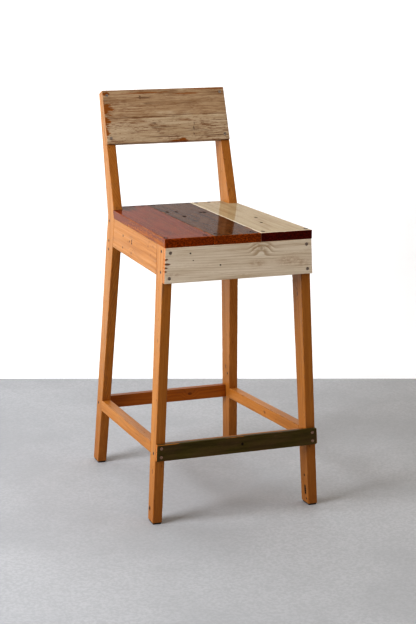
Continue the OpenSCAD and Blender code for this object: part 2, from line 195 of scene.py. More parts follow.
def board_mesh(name, stations, radius):
    """Closed board through the given corner rectangles, with its own local frame.

    Comes with (point, edge, end) of each vertex: edge is 1 on an edge and fades out
    away from it, end is 1 on the two ends."""
    centres = [sum(ring, Vector()) / 4 for ring in stations]
    matrix = local_frame(centres[0], centres[-1], stations[0])
    back = matrix.inverted()
    spans = [(b - a).length for a, b in zip(centres, centres[1:])]
    starts = np.concatenate([[0], np.cumsum(spans)])
    width = (stations[0][1] - stations[0][0]).length
    thick = (stations[0][3] - stations[0][0]).length
    sizes = (sum(spans), width, thick)
    loops = [lattice(size) for size in sizes]
    if len(spans) > 1:
        loops[0] = np.sort(np.concatenate([loops[0], starts[1:-1]]))

    def sharp(l, w, t):
        """Point at a length, width and thickness, as if the edges were sharp."""
        k = int(np.clip(np.searchsorted(starts, l, side="right") - 1, 0, len(spans) - 1))
        f = (l - starts[k]) / spans[k]
        a, b, c, d = [p.lerp(q, f) for p, q in zip(stations[k], stations[k + 1])]
        return a.lerp(b, w / width).lerp(d.lerp(c, w / width), t / thick)

    index, wear, faces = {}, [], []

    def vertex(key):
        if key not in index:
            spot = [steps[i] for steps, i in zip(loops, key)]
            gaps = [min(s, size - s) for s, size in zip(spot, sizes)]
            r = min(wear_radius(sharp(*spot), radius), thick * 0.3)
            inner = [min(max(s, r), size - r) for s, size in zip(spot, sizes)]
            push = Vector([s - n for s, n in zip(spot, inner)])
            if push.length > 1e-9:
                push = push.normalized() * r
            worn = sharp(*[n + p for n, p in zip(inner, push)])
            index[key] = len(wear)
            wear.append((back @ worn, max(0.0, 1.0 - sorted(gaps)[1] / WEAR_REACH),
                         1.0 if gaps[0] < 0.1 * MM else 0.0))
        return index[key]

    def quad(*keys):
        faces.append([vertex(key) for key in keys])

    nl, nw, nt = [len(steps) - 1 for steps in loops]
    for i in range(nl):
        for j in range(nw):
            quad((i, j, 0), (i, j + 1, 0), (i + 1, j + 1, 0), (i + 1, j, 0))
            quad((i, j, nt), (i + 1, j, nt), (i + 1, j + 1, nt), (i, j + 1, nt))
        for k in range(nt):
            quad((i, 0, k), (i + 1, 0, k), (i + 1, 0, k + 1), (i, 0, k + 1))
            quad((i, nw, k), (i, nw, k + 1), (i + 1, nw, k + 1), (i + 1, nw, k))
    for j in range(nw):
        for k in range(nt):
            quad((0, j, k), (0, j, k + 1), (0, j + 1, k + 1), (0, j + 1, k))
            quad((nl, j, k), (nl, j + 1, k), (nl, j + 1, k + 1), (nl, j, k + 1))

    mesh = bpy.data.meshes.new(name)
    mesh.from_pydata([point for point, _, _ in wear], [], faces)
    mesh.update()
    ripple(mesh, matrix)
    piece = bpy.data.objects.new(name, mesh)
    bpy.context.scene.collection.objects.link(piece)
    piece.matrix_world = matrix
    bpy.context.view_layer.update()
    return piece, wear


# ---------------------------------------------------------------- holes

SCREW_CLEARANCE = 0.35 * MM
SCREW_RECESS = 3.0 * MM
NAIL_RECESS = 1.0 * MM
OLD_HOLE_DEPTH = 3.5 * MM
HOLE_SIDES = 28


def solids(node):
    """Point cloud of each separate solid in a CAD node."""
    points = node_points(node)
    unique, merged = np.unique(np.round(points * 1e5).astype(int), axis=0, return_inverse=True)
    merged = [int(m) for m in merged.ravel()]
    parent = list(range(len(unique)))

    def root(i):
        while parent[i] != i:
            parent[i] = parent[parent[i]]
            i = parent[i]
        return i

    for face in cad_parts[node].data.polygons:
        first = root(merged[face.vertices[0]])
        for v in face.vertices[1:]:
            parent[root(merged[v])] = first
    groups = {}
    for i, m in enumerate(merged):
        groups.setdefault(root(m), []).append(i)
    return [points[members] for members in groups.values()]


def fasteners(node):
    """(head centre, direction out of the wood, head radius) of each screw or nail in a node."""
    found = []
    for cloud in solids(node):
        spread = cloud - cloud.mean(0)
        axis = np.linalg.svd(spread)[2][0]
        reach = spread @ axis
        off = np.linalg.norm(spread - np.outer(reach, axis), axis=1)
        if off[reach > (reach.min() + reach.max()) / 2].max() < off.max() - 1e-6:
            axis = -axis
        axis = Vector(axis).normalized()
        side = axis.orthogonal().normalized()
        head = axis * float((cloud @ np.array(axis)).max())
        for direction in (side, axis.cross(side)):
            across = cloud @ np.array(direction)
            head += direction * float(across.min() + across.max()) / 2
        found.append((head, axis, float(off.max())))
    return found


def make_cutter(points, faces):
    """Object to carve a board with."""
    mesh = bpy.data.meshes.new("cutter")
    mesh.from_pydata(points, [], faces)
    return bpy.data.objects.new("cutter", mesh)


def hole_cutter(spots):
    """One cutter for round holes. Each spot is (centre, outward axis, radius, depth)."""
    sides = HOLE_SIDES
    points, faces = [], []
    for centre, axis, radius, depth in spots:
        first = len(points)
        side = axis.orthogonal().normalized()
        other = axis.cross(side)
        for level in (-depth, 3 * MM):
            for s in range(sides):
                turn = 2 * math.pi * s / sides
                rim = side * math.cos(turn) + other * math.sin(turn)
                points.append(centre + axis * level + rim * radius)
        faces.append([first + s for s in reversed(range(sides))])
        faces.append([first + sides + s for s in range(sides)])
        for s in range(sides):
            t = (s + 1) % sides
            faces.append([first + s, first + t, first + sides + t, first + sides + s])
    return make_cutter(points, faces)


def hexahedron(low, high):
    """Six-sided cutter between two rings of four corners."""
    sides = [[i, (i + 1) % 4, 4 + (i + 1) % 4, 4 + i] for i in range(4)]
    return make_cutter(list(low) + list(high), [[3, 2, 1, 0], [4, 5, 6, 7]] + sides)


def carve(piece, cutter):
    """Subtracts the cutter from the piece for good."""
    bpy.context.scene.collection.objects.link(cutter)
    modifier = piece.modifiers.new("carve", "BOOLEAN")
    modifier.operation = "DIFFERENCE"
    modifier.solver = "EXACT"
    modifier.object = cutter
    graph = bpy.context.evaluated_depsgraph_get()
    carved = bpy.data.meshes.new_from_object(piece.evaluated_get(graph))
    piece.modifiers.clear()
    old = piece.data
    piece.data = carved
    bpy.data.meshes.remove(old)
    bpy.data.objects.remove(cutter)


def mark_wear(piece, wear):
    """Stores edge, end and the grain coordinates on every vertex, then drops the local frame.

    Edge and end come from the nearest vertex of the uncarved board. The grain coordinates
    are the board's own: X along it, Z out of its best face, from the middle of its first end."""
    tree = KDTree(len(wear))
    for i, (point, _, _) in enumerate(wear):
        tree.insert(point, i)
    tree.balance()
    nearest = [tree.find(v.co)[1] for v in piece.data.vertices]
    for label, column in (("edge", 1), ("end", 2)):
        layer = piece.data.attributes.new(label, "FLOAT", "POINT")
        layer.data.foreach_set("value", np.array([wear[i][column] for i in nearest], np.float32))
    grain = piece.data.attributes.new("grain", "FLOAT_VECTOR", "POINT")
    grain.data.foreach_set("vector", mesh_points(piece.data).astype(np.float32).ravel())
    piece.data.transform(piece.matrix_world)
    piece.matrix_world = Matrix.Identity(4)


def smooth(piece):
    """Smooth shading over the worn edges, crisp at the recesses."""
    piece.data.polygons.foreach_set("use_smooth", [True] * len(piece.data.polygons))
    piece.data.set_sharp_from_angle(angle=math.radians(38))


def head_recesses(*nodes):
    """Recesses for the heads of the screws or nails in the named nodes."""
    return [(centre, axis, radius + SCREW_CLEARANCE, SCREW_RECESS if "screws" in node else NAIL_RECESS)
            for node in nodes for centre, axis, radius in fasteners(node)]


def near_piece(spots, piece):
    """The spots whose mouth lies on the piece's own box, or just outside it."""
    points = mesh_points(piece.data)
    margin = 4 * MM
    low, high = points.min(0) - margin, points.max(0) + margin
    back = piece.matrix_world.inverted()
    kept = []
    for spot in spots:
        local = np.array(back @ spot[0])
        if (local > low).all() and (local < high).all():
            kept.append(spot)
    return kept


# ---------------------------------------------------------------- shader helper

class Shader:
    """One procedural material, with short calls for its nodes."""

    def __init__(self, name, seed, board=True):
        self.material = bpy.data.materials.new(name)
        self.material.use_nodes = True
        tree = self.material.node_tree
        self.nodes, self.links = tree.nodes, tree.links
        self.nodes.clear()
        self.bsdf = self.node("BsdfPrincipled", {})
        self.node("OutputMaterial", {"Surface": self.bsdf.outputs[0]})
        if board:
            self.point = self.attribute("grain", "Vector")
        else:
            self.point = self.node("TexCoord", {}).outputs["Object"]
        self.seeded = self.vector("ADD", self.point, (seed * 3.71, seed * 1.13, seed * 2.39))
        self.x, self.y, self.z = self.node("SeparateXYZ", {0: self.point}).outputs

    def put(self, socket, value):
        """Links a socket to an output, or sets it to a plain value."""
        if isinstance(value, bpy.types.NodeSocket):
            self.links.new(value, socket)
        else:
            socket.default_value = value

    def node(self, kind, inputs):
        node = self.nodes.new("ShaderNode" + kind)
        for socket, value in inputs.items():
            self.put(node.inputs[socket], value)
        return node

    def math(self, operation, *values):
        node = self.node("Math", dict(enumerate(values)))
        node.operation = operation
        return node.outputs[0]

    def add(self, *terms):
        return reduce(partial(self.math, "ADD"), terms)

    def sub(self, *terms):
        return reduce(partial(self.math, "SUBTRACT"), terms)

    def mul(self, *terms):
        return reduce(partial(self.math, "MULTIPLY"), terms)

    def most(self, *terms):
        return reduce(partial(self.math, "MAXIMUM"), terms)

    def distance(self, x, y):
        return self.math("SQRT", self.add(self.mul(x, x), self.mul(y, y)))

    def vector(self, operation, a, b):
        node = self.node("VectorMath", {0: a, 1: b})
        node.operation = operation
        return node.outputs["Vector"]

    def noise(self, stretch, detail=3.0, roughness=0.55, distortion=0.0, shift=(0, 0, 0)):
        """Noise from 0 to 1, with a stretch in cycles per metre along each local axis."""
        scaled = self.vector("MULTIPLY", self.vector("ADD", self.seeded, shift), stretch)
        return self.node("TexNoise", {"Vector": scaled, "Scale": 1.0, "Detail": detail,
                                      "Roughness": roughness, "Distortion": distortion}).outputs["Fac"]

    def step(self, value, low, high, start=0.0, finish=1.0):
        """Smooth step of value, from start at low to finish at high."""
        node = self.node("MapRange", {"Value": value, "From Min": low, "From Max": high,
                                      "To Min": start, "To Max": finish})
        node.interpolation_type = "SMOOTHSTEP"
        return node.outputs[0]

    def ramp(self, value, stops):
        node = self.node("ValToRGB", {0: value})
        elements = node.color_ramp.elements
        while len(elements) < len(stops):
            elements.new(0.5)
        for element, (place, colour) in zip(elements, stops):
            element.position = place
            element.color = (*colour, 1) if isinstance(colour, tuple) else (colour, colour, colour, 1)
        return node.outputs[0]

    def mix(self, share, a, b):
        """Colour a where share is 0, colour b where it is 1."""
        a, b = [(*colour, 1) if isinstance(colour, tuple) else colour for colour in (a, b)]
        node = self.nodes.new("ShaderNodeMix")
        node.data_type = "RGBA"
        for socket, value in ((0, share), (6, a), (7, b)):
            self.put(node.inputs[socket], value)
        return node.outputs[2]

    def layers(self, base, *coats):
        """Colours laid over base one after another, each given as (mask, strength, colour)."""
        for mask, strength, colour in coats:
            base = self.mix(self.mul(mask, strength), base, colour)
        return base

    def attribute(self, name, output="Fac"):
        node = self.node("Attribute", {})
        node.attribute_name = name
        return node.outputs[output]

    def spot(self, x, y, length, width, soft=0.35, ragged=None):
        """1 inside an ellipse on the board's face, fading to 0 outside it.

        A ragged value from 0 to 1 pushes its outline in and out."""
        reach = self.distance(self.math("DIVIDE", self.sub(self.x, x), length),
                              self.math("DIVIDE", self.sub(self.y, y), width))
        if ragged:
            reach = self.add(reach, self.mul(self.sub(ragged, 0.5), 2.6))
        return self.step(reach, 1.0 - soft, 1.0 + soft, 1.0, 0.0)

    def spots(self, places, soft=0.35, ragged=None):
        """The strongest of several spots, each given as (x, y, length, width)."""
        return self.most(*[self.spot(*place, soft, ragged) for place in places])

    def cracks(self, seed, stretch, width):
        """Thin broken lines along the grain, as the level lines of a stretched noise."""
        level = self.noise(stretch, detail=2, roughness=0.5, distortion=0.3, shift=(seed, 6, 2))
        line = self.step(self.math("ABSOLUTE", self.sub(level, 0.5)), 0.0, width, 1.0, 0.0)
        return self.mul(line, self.step(self.noise((11, 40, 40), detail=3, shift=(seed, 1, 5)), 0.5, 0.62))

    def finish(self, colour, roughness, height, relief, coat=0.0, coat_roughness=0.08, specular=0.5):
        """Sets up the surface. Relief is how far the height stands out as it goes from 0 to 1."""
        bump = self.node("Bump", {"Strength": 1.0, "Distance": relief, "Height": height}).outputs[0]
        looks = {"Base Color": colour, "Roughness": roughness, "Specular IOR Level": specular,
                 "Coat Weight": coat, "Coat Roughness": coat_roughness, "Normal": bump, "Coat Normal": bump}
        for socket, value in looks.items():
            self.put(self.bsdf.inputs[socket], value)
        return self.material


# ---------------------------------------------------------------- wood

# Tones of pine, from pale spring wood to dark latewood
PINE = ((0.45, 0.192, 0.038), (0.37, 0.145, 0.024), (0.225, 0.076, 0.010))
# A darker copy of PINE: painted shade for the pieces that stand in shade, the front and back rails and the
# back stretcher
SHADED_PINE = ((0.39, 0.130, 0.012), (0.315, 0.094, 0.008), (0.175, 0.042, 0.004))
# Weathered grey-brown that shows along edges and in streaks
GREYED = (0.150, 0.082, 0.048)
# Where the pith lies beside a painted board, and how it slants away from it
PAINTED_CUT = dict(pith=(0.02, -0.03), slant=(0.01, 0.006))


def shade(tone, factor):
    """The tone made lighter or darker."""
    return tuple(c * factor for c in tone)


def pine(s, tones, pith=(0.014, -0.05), slant=(0.004, 0.003), ring=3.2 * MM, knots=()):
    """Colour of solid pine, grown around a pith line beside the board.

    Keeps its latewood, fibre and streak values on the shader. Knots are (x, y, radius)
    on the board's face."""
    early, late, deep = tones
    sway = s.sub(s.noise((2.6, 11, 11), detail=2), 0.5)
    sway_too = s.sub(s.noise((3.1, 13, 13), detail=2, shift=(3, 1, 2)), 0.5)
    y = s.add(s.y, s.mul(sway, 0.014), s.mul(s.x, slant[0]), -pith[0])
    z = s.add(s.z, s.mul(sway_too, 0.012), s.mul(s.x, slant[1]), -pith[1])
    rings = s.math("DIVIDE", s.distance(y, z), ring)
    core = 0.0
    for knot_x, knot_y, size in knots:
        reach = s.distance(s.mul(s.sub(s.x, knot_x), 0.62), s.sub(s.y, knot_y))
        reach = s.add(reach, s.mul(sway_too, size * 0.8))
        halo = s.step(reach, size * 0.7, size * 4.5, 1.0, 0.0)
        rings = s.add(rings, s.mul(halo, size / ring * 1.5))
        inside = s.step(reach, size * 0.75, size * 1.1, 1.0, 0.0)
        turns = s.math("DIVIDE", reach, 1.5 * MM)
        rings = s.add(s.mul(rings, s.sub(1.0, inside)), s.mul(turns, inside))
        core = s.most(core, inside)
    s.latewood = s.ramp(s.math("FRACT", rings),
                        [(0.0, 0.0), (0.4, 0.1), (0.82, 1.0), (0.93, 0.8), (1.0, 0.0)])
    s.fibre = s.noise((34, 760, 760), detail=4, roughness=0.65)
    s.streak = s.noise((2.6, 130, 130), detail=5, roughness=0.68)
    blotch = s.noise((4, 22, 22), detail=4, roughness=0.6)
    vessels = s.step(s.noise((42, 900, 900), detail=2, roughness=0.5, shift=(6, 2, 9)), 0.60, 0.72)
    colour = s.layers(s.mix(s.step(s.streak, 0.32, 0.68), early, late),
                      (s.latewood, s.step(blotch, 0.3, 0.75, 0.12, 0.55), deep),
                      (s.step(s.fibre, 0.40, 0.70), 0.55, late),
                      (vessels, 0.40, deep),
                      (s.step(blotch, 0.52, 0.8), 0.22, deep))
    if knots:
        colour = s.layers(colour, (core, 0.8, s.mix(s.latewood, deep, shade(deep, 0.35))))
    return colour


def oiled_pine(name, seed, piece=None, tones=PINE, foot_darkening=0.0):
    """Oiled bare pine, with handling dirt along its edges and darker ends.

    foot_darkening is the length over which the board grows darker towards its first end, as towards the foot
    of a leg."""
    s = Shader(name, seed, piece is not None)
    colour = pine(s, tones, knots=board_knots(piece) if piece else ())
    deep = tones[2]
    scuffs = s.noise((45, 240, 240), detail=4, roughness=0.65, shift=(1, 5, 2))
    worn = s.mul(s.step(s.attribute("edge"), 0.78, 1.0), s.step(scuffs, 0.44, 0.60))
    weathered = s.mul(s.step(s.noise((5, 46, 46), detail=4, roughness=0.6, shift=(2, 8, 8)), 0.56, 0.70),
                      s.step(s.noise((30, 520, 520), detail=3, shift=(7, 1, 4)), 0.42, 0.62))
    marks = s.step(s.noise((60, 130, 130), detail=2, shift=(9, 2, 4)), 0.68, 0.74)
    colour = s.layers(colour, (worn, 0.60, GREYED), (weathered, 0.55, GREYED),
                      (marks, 0.45, shade(deep, 0.5)))
    if foot_darkening:
        # Darker towards the foot of a leg, broken up by the scuffs
        darkening = s.mul(s.step(s.x, 0.0, foot_darkening, 1.0, 0.0), s.step(scuffs, 0.25, 0.65, 0.5, 1.0))
        colour = s.layers(colour, (darkening, 0.55, deep))
    colour = s.layers(colour, (s.attribute("end"), 0.55, deep))
    if piece:
        colour, _ = stained(s, piece, colour)
    height = s.add(s.mul(s.latewood, 0.35), s.mul(s.fibre, 0.6), s.mul(scuffs, 0.25))
    roughness = s.step(s.add(s.streak, s.mul(marks, 0.3)), 0.2, 1.0, 0.36, 0.58)
    return s.finish(colour, roughness, height, relief=0.3 * MM, specular=0.3)


def cut_end(s, tone):
    """Stained end grain of a painted board."""
    grain = s.noise((300, 210, 420), detail=5, roughness=0.7, shift=(3, 3, 3))
    stains = s.noise((60, 38, 90), detail=4, roughness=0.65, shift=(8, 5, 3))
    rim = s.mul(s.step(s.attribute("edge"), 0.75, 1.0), s.step(grain, 0.40, 0.55))
    colour = s.mix(s.step(stains, 0.40, 0.60), tone, shade(tone, 1.35))
    colour = s.mix(s.step(grain, 0.42, 0.60), shade(tone, 0.5), colour)
    return s.layers(colour, (rim, 0.4, shade(tone, 1.8)))


def painted(name, seed, piece, wood_tones, coats, wear, flaws, end_tone, relief, roughness=(0.5, 0.75),
            coat=0.0, coat_roughness=0.08, specular=0.12):
    """Worn paint over pine. coats are (light, mid, dark) paint tones, wear is (low, high) of the
    exposure at which bare wood shows, and flaws may add to the exposure and stain the paint."""
    s = Shader(name, seed)
    wood = pine(s, wood_tones, **PAINTED_CUT)
    light, mid, dark = coats
    lines = s.noise((9, 150, 150), detail=6, roughness=0.68, distortion=0.15, shift=(2, 7, 5))
    patches = s.noise((16, 34, 34), detail=5, roughness=0.62, shift=(5, 1, 8))
    fine = s.noise((180, 900, 900), detail=2, shift=(4, 4, 9))
    tone = s.noise((6, 70, 70), detail=5, roughness=0.65, shift=(8, 3, 1))
    paint = s.ramp(tone, [(0.28, dark), (0.5, mid), (0.72, light)])
    paint = s.layers(paint, (s.step(fine, 0.4, 0.7), 0.3, dark))
    rub = s.mul(s.step(s.attribute("edge"), 0.80, 1.0), s.step(patches, 0.35, 0.65))
    exposure = s.add(s.mul(lines, 0.62), s.mul(patches, 0.3), s.mul(s.latewood, 0.1), s.mul(rub, 0.3))
    exposure, paint = flaws(s, exposure, paint, patches)
    bare = s.step(exposure, *wear)
    colour = s.mix(s.attribute("end"), s.mix(bare, paint, wood), cut_end(s, end_tone))
    colour, stain = stained(s, piece, colour)
    if coat:
        coat = s.mul(s.sub(1.0, s.most(stain, s.mul(bare, 0.6))), coat)
    height = s.add(s.mul(bare, -0.7), s.mul(s.fibre, 0.3), s.mul(lines, 0.5), s.mul(s.latewood, 0.15))
    rough = s.step(s.add(s.mul(bare, 0.5), s.mul(lines, 0.5)), 0.1, 0.8, *roughness)
    return s.finish(colour, rough, height, relief, coat, coat_roughness, specular)


def place(x, y, z):
    """A point x right of the centre line, y behind the seat's front edge and z above the floor, in mm."""
    return Vector((x * MM, FRONT_Y + y * MM, z * MM))


def on_board(piece, point):
    """Local x and y of a point on a board's face."""
    local = piece.matrix_world.inverted() @ point
    return local.x, local.y


# Old nail holes and gouges: the face they are in, and (point, radius in mm) for each
NAIL_HOLES = {
    "left_side_rail": (LEFT, [(place(-165, 334, 602), 1.6), (place(-165, 280, 597.5), 1.4),
                              (place(-165, 261.5, 602), 1.6), (place(-165, 261, 596), 1.6),
                              (place(-165, 335, 574), 1.4)]),
    "front_apron_board": (FORWARD, [(place(-114.5, 0, 615), 0.9), (place(-108, 0, 599), 0.6),
                                    (place(-45, 0, 585), 0.9)]),
    "front_left_leg": (LEFT, [(place(-198, 40, 31), 2.6)]),
    "front_right_leg": (LEFT, [(place(177, 28.8, 41.4), 2.2), (place(177, 28.3, 36.6), 2.3),
                               (place(177, 27.9, 31.8), 2.3), (place(177, 27.6, 27.2), 2.1),
                               (place(177, 31, 69), 1.5), (place(177, 23.8, 13.8), 1.4)]),
    "back_right_leg": (LEFT, [(place(157, 478, 204), 1.6)]),
    "footrest_strip": (FORWARD, [(place(10, 3, 169.5), 1.6)]),
    "seat_plank_middle": (UP, [(place(-49, 347, 650), 2.0), (place(-28, 340, 650), 1.8),
                               (place(-32, 272, 650), 2.2), (place(24.5, 315, 650), 1.8),
                               (place(32.5, 312, 650), 2.0)]),
    "seat_plank_right": (UP, [(place(119, 201, 650), 1.6), (place(104, 130, 650), 1.6)]),
}


# Rust in the wood around old nails
STAIN = (0.022, 0.011, 0.007)


def node_of(piece):
    return piece.name.removesuffix("_board")


def stained(s, piece, colour):
    """Adds the rust-dark rims of the board's old nail holes and of its nail heads.

    Returns the colour and a mask of the stains."""
    node = node_of(piece)
    seat = node.startswith("seat_plank")
    bleed = 4.2 if seat else 2.2
    marks = [(*on_board(piece, point), radius * bleed * MM, radius * 1.9 * MM)
             for point, radius in NAIL_HOLES.get(node, (0, []))[1]]
    if seat:
        nails = near_piece([(head, axis) for head, axis, _ in fasteners("seat_nails")], piece)
        marks += [(*on_board(piece, head), 7.0 * MM, 4.2 * MM) for head, _ in nails]
    if not marks:
        return colour, 0.0
    rough = s.noise((260, 260, 260), detail=3, shift=(4, 8, 8))
    stain = s.spots(marks, 0.3, s.math("MULTIPLY_ADD", rough, 0.3, 0.35))
    return s.layers(colour, (stain, 0.85, STAIN)), stain


# ---------------------------------------------------------------- materials of the boards

# Knots in the bare boards: a point on the face and the knot's radius, in mm
KNOTS = {
    "left_side_rail": [(place(-165, 262, 573), 3.5), (place(-165, 130, 612), 2.5)],
    "right_side_rail": [(place(165, 190, 590), 5.0)],
    "front_left_leg": [(place(-180, 30, 420), 3.0), (place(-190, 30, 120), 3.5)],
    "front_right_leg": [(place(180, 36, 500), 3.5)],
    "back_right_leg": [(place(160, 488, 220), 4.0)],
    "right_side_stretcher": [(place(178, 250, 162), 4.0)],
    "back_rail": [(place(-40, 469, 590), 6.0), (place(92, 469, 566), 4.0)],
    "back_stretcher": [(place(60, 512, 155), 4.0)],
}


def board_knots(piece):
    return [(*on_board(piece, point), size * MM) for point, size in KNOTS.get(node_of(piece), [])]


def leg_pine(piece, seed):
    return oiled_pine("leg_pine_%d" % seed, seed, piece, foot_darkening=200 * MM)


def rail_pine(piece, seed):
    return oiled_pine("rail_pine_%d" % seed, seed, piece)


# Pine in the darker SHADED_PINE tones: painted shade for pieces that stand in shade
def inner_pine(piece, seed):
    return oiled_pine("inner_pine_%d" % seed, seed, piece, SHADED_PINE)


CREAM = ((0.80, 0.700, 0.585), (0.73, 0.630, 0.510), (0.60, 0.485, 0.360))
WASHED_PINE = ((0.50, 0.30, 0.13), (0.42, 0.22, 0.08), (0.24, 0.095, 0.03))


def cream_wash(piece, seed):
    """Thin whitish wash over pine, with the grain showing and brown stains at the right."""
    s = Shader("cream_wash", seed)
    knot_x, knot_y = on_board(piece, place(52, 0, 616))
    left_end, right_end = [on_board(piece, place(x, 0, 590))[0] for x in (-173, 173)]

    def near(start, x, y, length, width):
        """A spot x mm from a start along the board and y mm from the knot's height."""
        return start + x * MM, knot_y + y * MM, length * MM, width * MM

    wood = pine(s, WASHED_PINE, pith=(0.05, -0.016), slant=(0.05, 0.02), ring=4.6 * MM,
                knots=[(knot_x, knot_y, 5 * MM)])
    lines = s.noise((10, 400, 400), detail=5, roughness=0.7, distortion=0.2, shift=(2, 7, 5))
    patches = s.noise((14, 34, 34), detail=5, roughness=0.6, shift=(5, 1, 8))
    fingers = s.noise((70, 330, 330), detail=3, roughness=0.6, shift=(3, 3, 6))
    brush = s.noise((110, 170, 170), detail=4, roughness=0.68, shift=(6, 2, 1))
    tone = s.noise((5, 70, 70), detail=5, roughness=0.65, shift=(8, 3, 1))
    swirl = s.spot(*near(knot_x, 0, -4, 34, 20), 0.7)
    pale_turns = s.mul(s.step(s.latewood, 0.0, 0.12, 1.0, 0.0), swirl)
    bright = s.mul(s.step(lines, 0.46, 0.36), s.step(brush, 0.4, 0.6))
    stains = s.spots([near(right_end, -52, -30, 26, 9), near(right_end, -22, -38, 14, 8),
                      near(knot_x, -17, 2, 5, 12), near(knot_x, -7, 8, 7, 5), near(knot_x, 16, 6, 6, 6),
                      near(knot_x, -12, -34, 15, 6), near(left_end, 16, -46, 16, 3)], 0.9, patches)
    rub = s.mul(s.step(s.attribute("edge"), 0.86, 1.0), s.step(patches, 0.42, 0.6))
    chips = s.spots([(left_end, on_board(piece, place(0, 0, z))[1], length * MM, 1.9 * MM)
                     for z, length in ((604, 6), (594, 11), (586, 7), (578, 4))], 0.3, fingers)
    heart = s.spot(*near(knot_x, 0, 0, 3, 5), 0.5, patches)
    colour = s.layers(s.ramp(tone, [(0.3, CREAM[2]), (0.46, CREAM[1]), (0.7, CREAM[0])]),
                      (s.latewood, s.step(patches, 0.25, 0.6, 0.08, 0.30), (0.47, 0.34, 0.215)),
                      (s.mul(s.latewood, swirl), 0.55, (0.36, 0.24, 0.135)),
                      (pale_turns, 0.45, (0.90, 0.83, 0.72)),
                      (s.step(lines, 0.52, 0.68), 0.5, (0.40, 0.275, 0.165)),
                      (bright, 0.5, (0.88, 0.79, 0.66)),
                      (s.mul(stains, s.step(brush, 0.34, 0.62)), 0.42, (0.33, 0.175, 0.080)),
                      (rub, 0.6, wood),
                      (chips, 0.9, (0.15, 0.045, 0.015)),
                      (heart, 0.3, (0.26, 0.15, 0.08)),
                      (s.attribute("end"), 0.9, (0.42, 0.14, 0.02)))
    colour, _ = stained(s, piece, colour)
    height = s.add(s.mul(chips, -1.0), s.mul(s.fibre, 0.3), s.mul(lines, -0.6), s.mul(s.latewood, 0.25))
    return s.finish(colour, s.step(lines, 0, 1, 0.5, 0.62), height, relief=0.3 * MM, specular=0.2)


TAUPE = ((0.60, 0.480, 0.345), (0.52, 0.400, 0.275), (0.41, 0.295, 0.185))
BROWNED_TAUPE = ((0.52, 0.380, 0.250), (0.44, 0.305, 0.188), (0.33, 0.210, 0.118))
WORN_PINE = ((0.31, 0.104, 0.012), (0.25, 0.078, 0.008), (0.14, 0.036, 0.004))


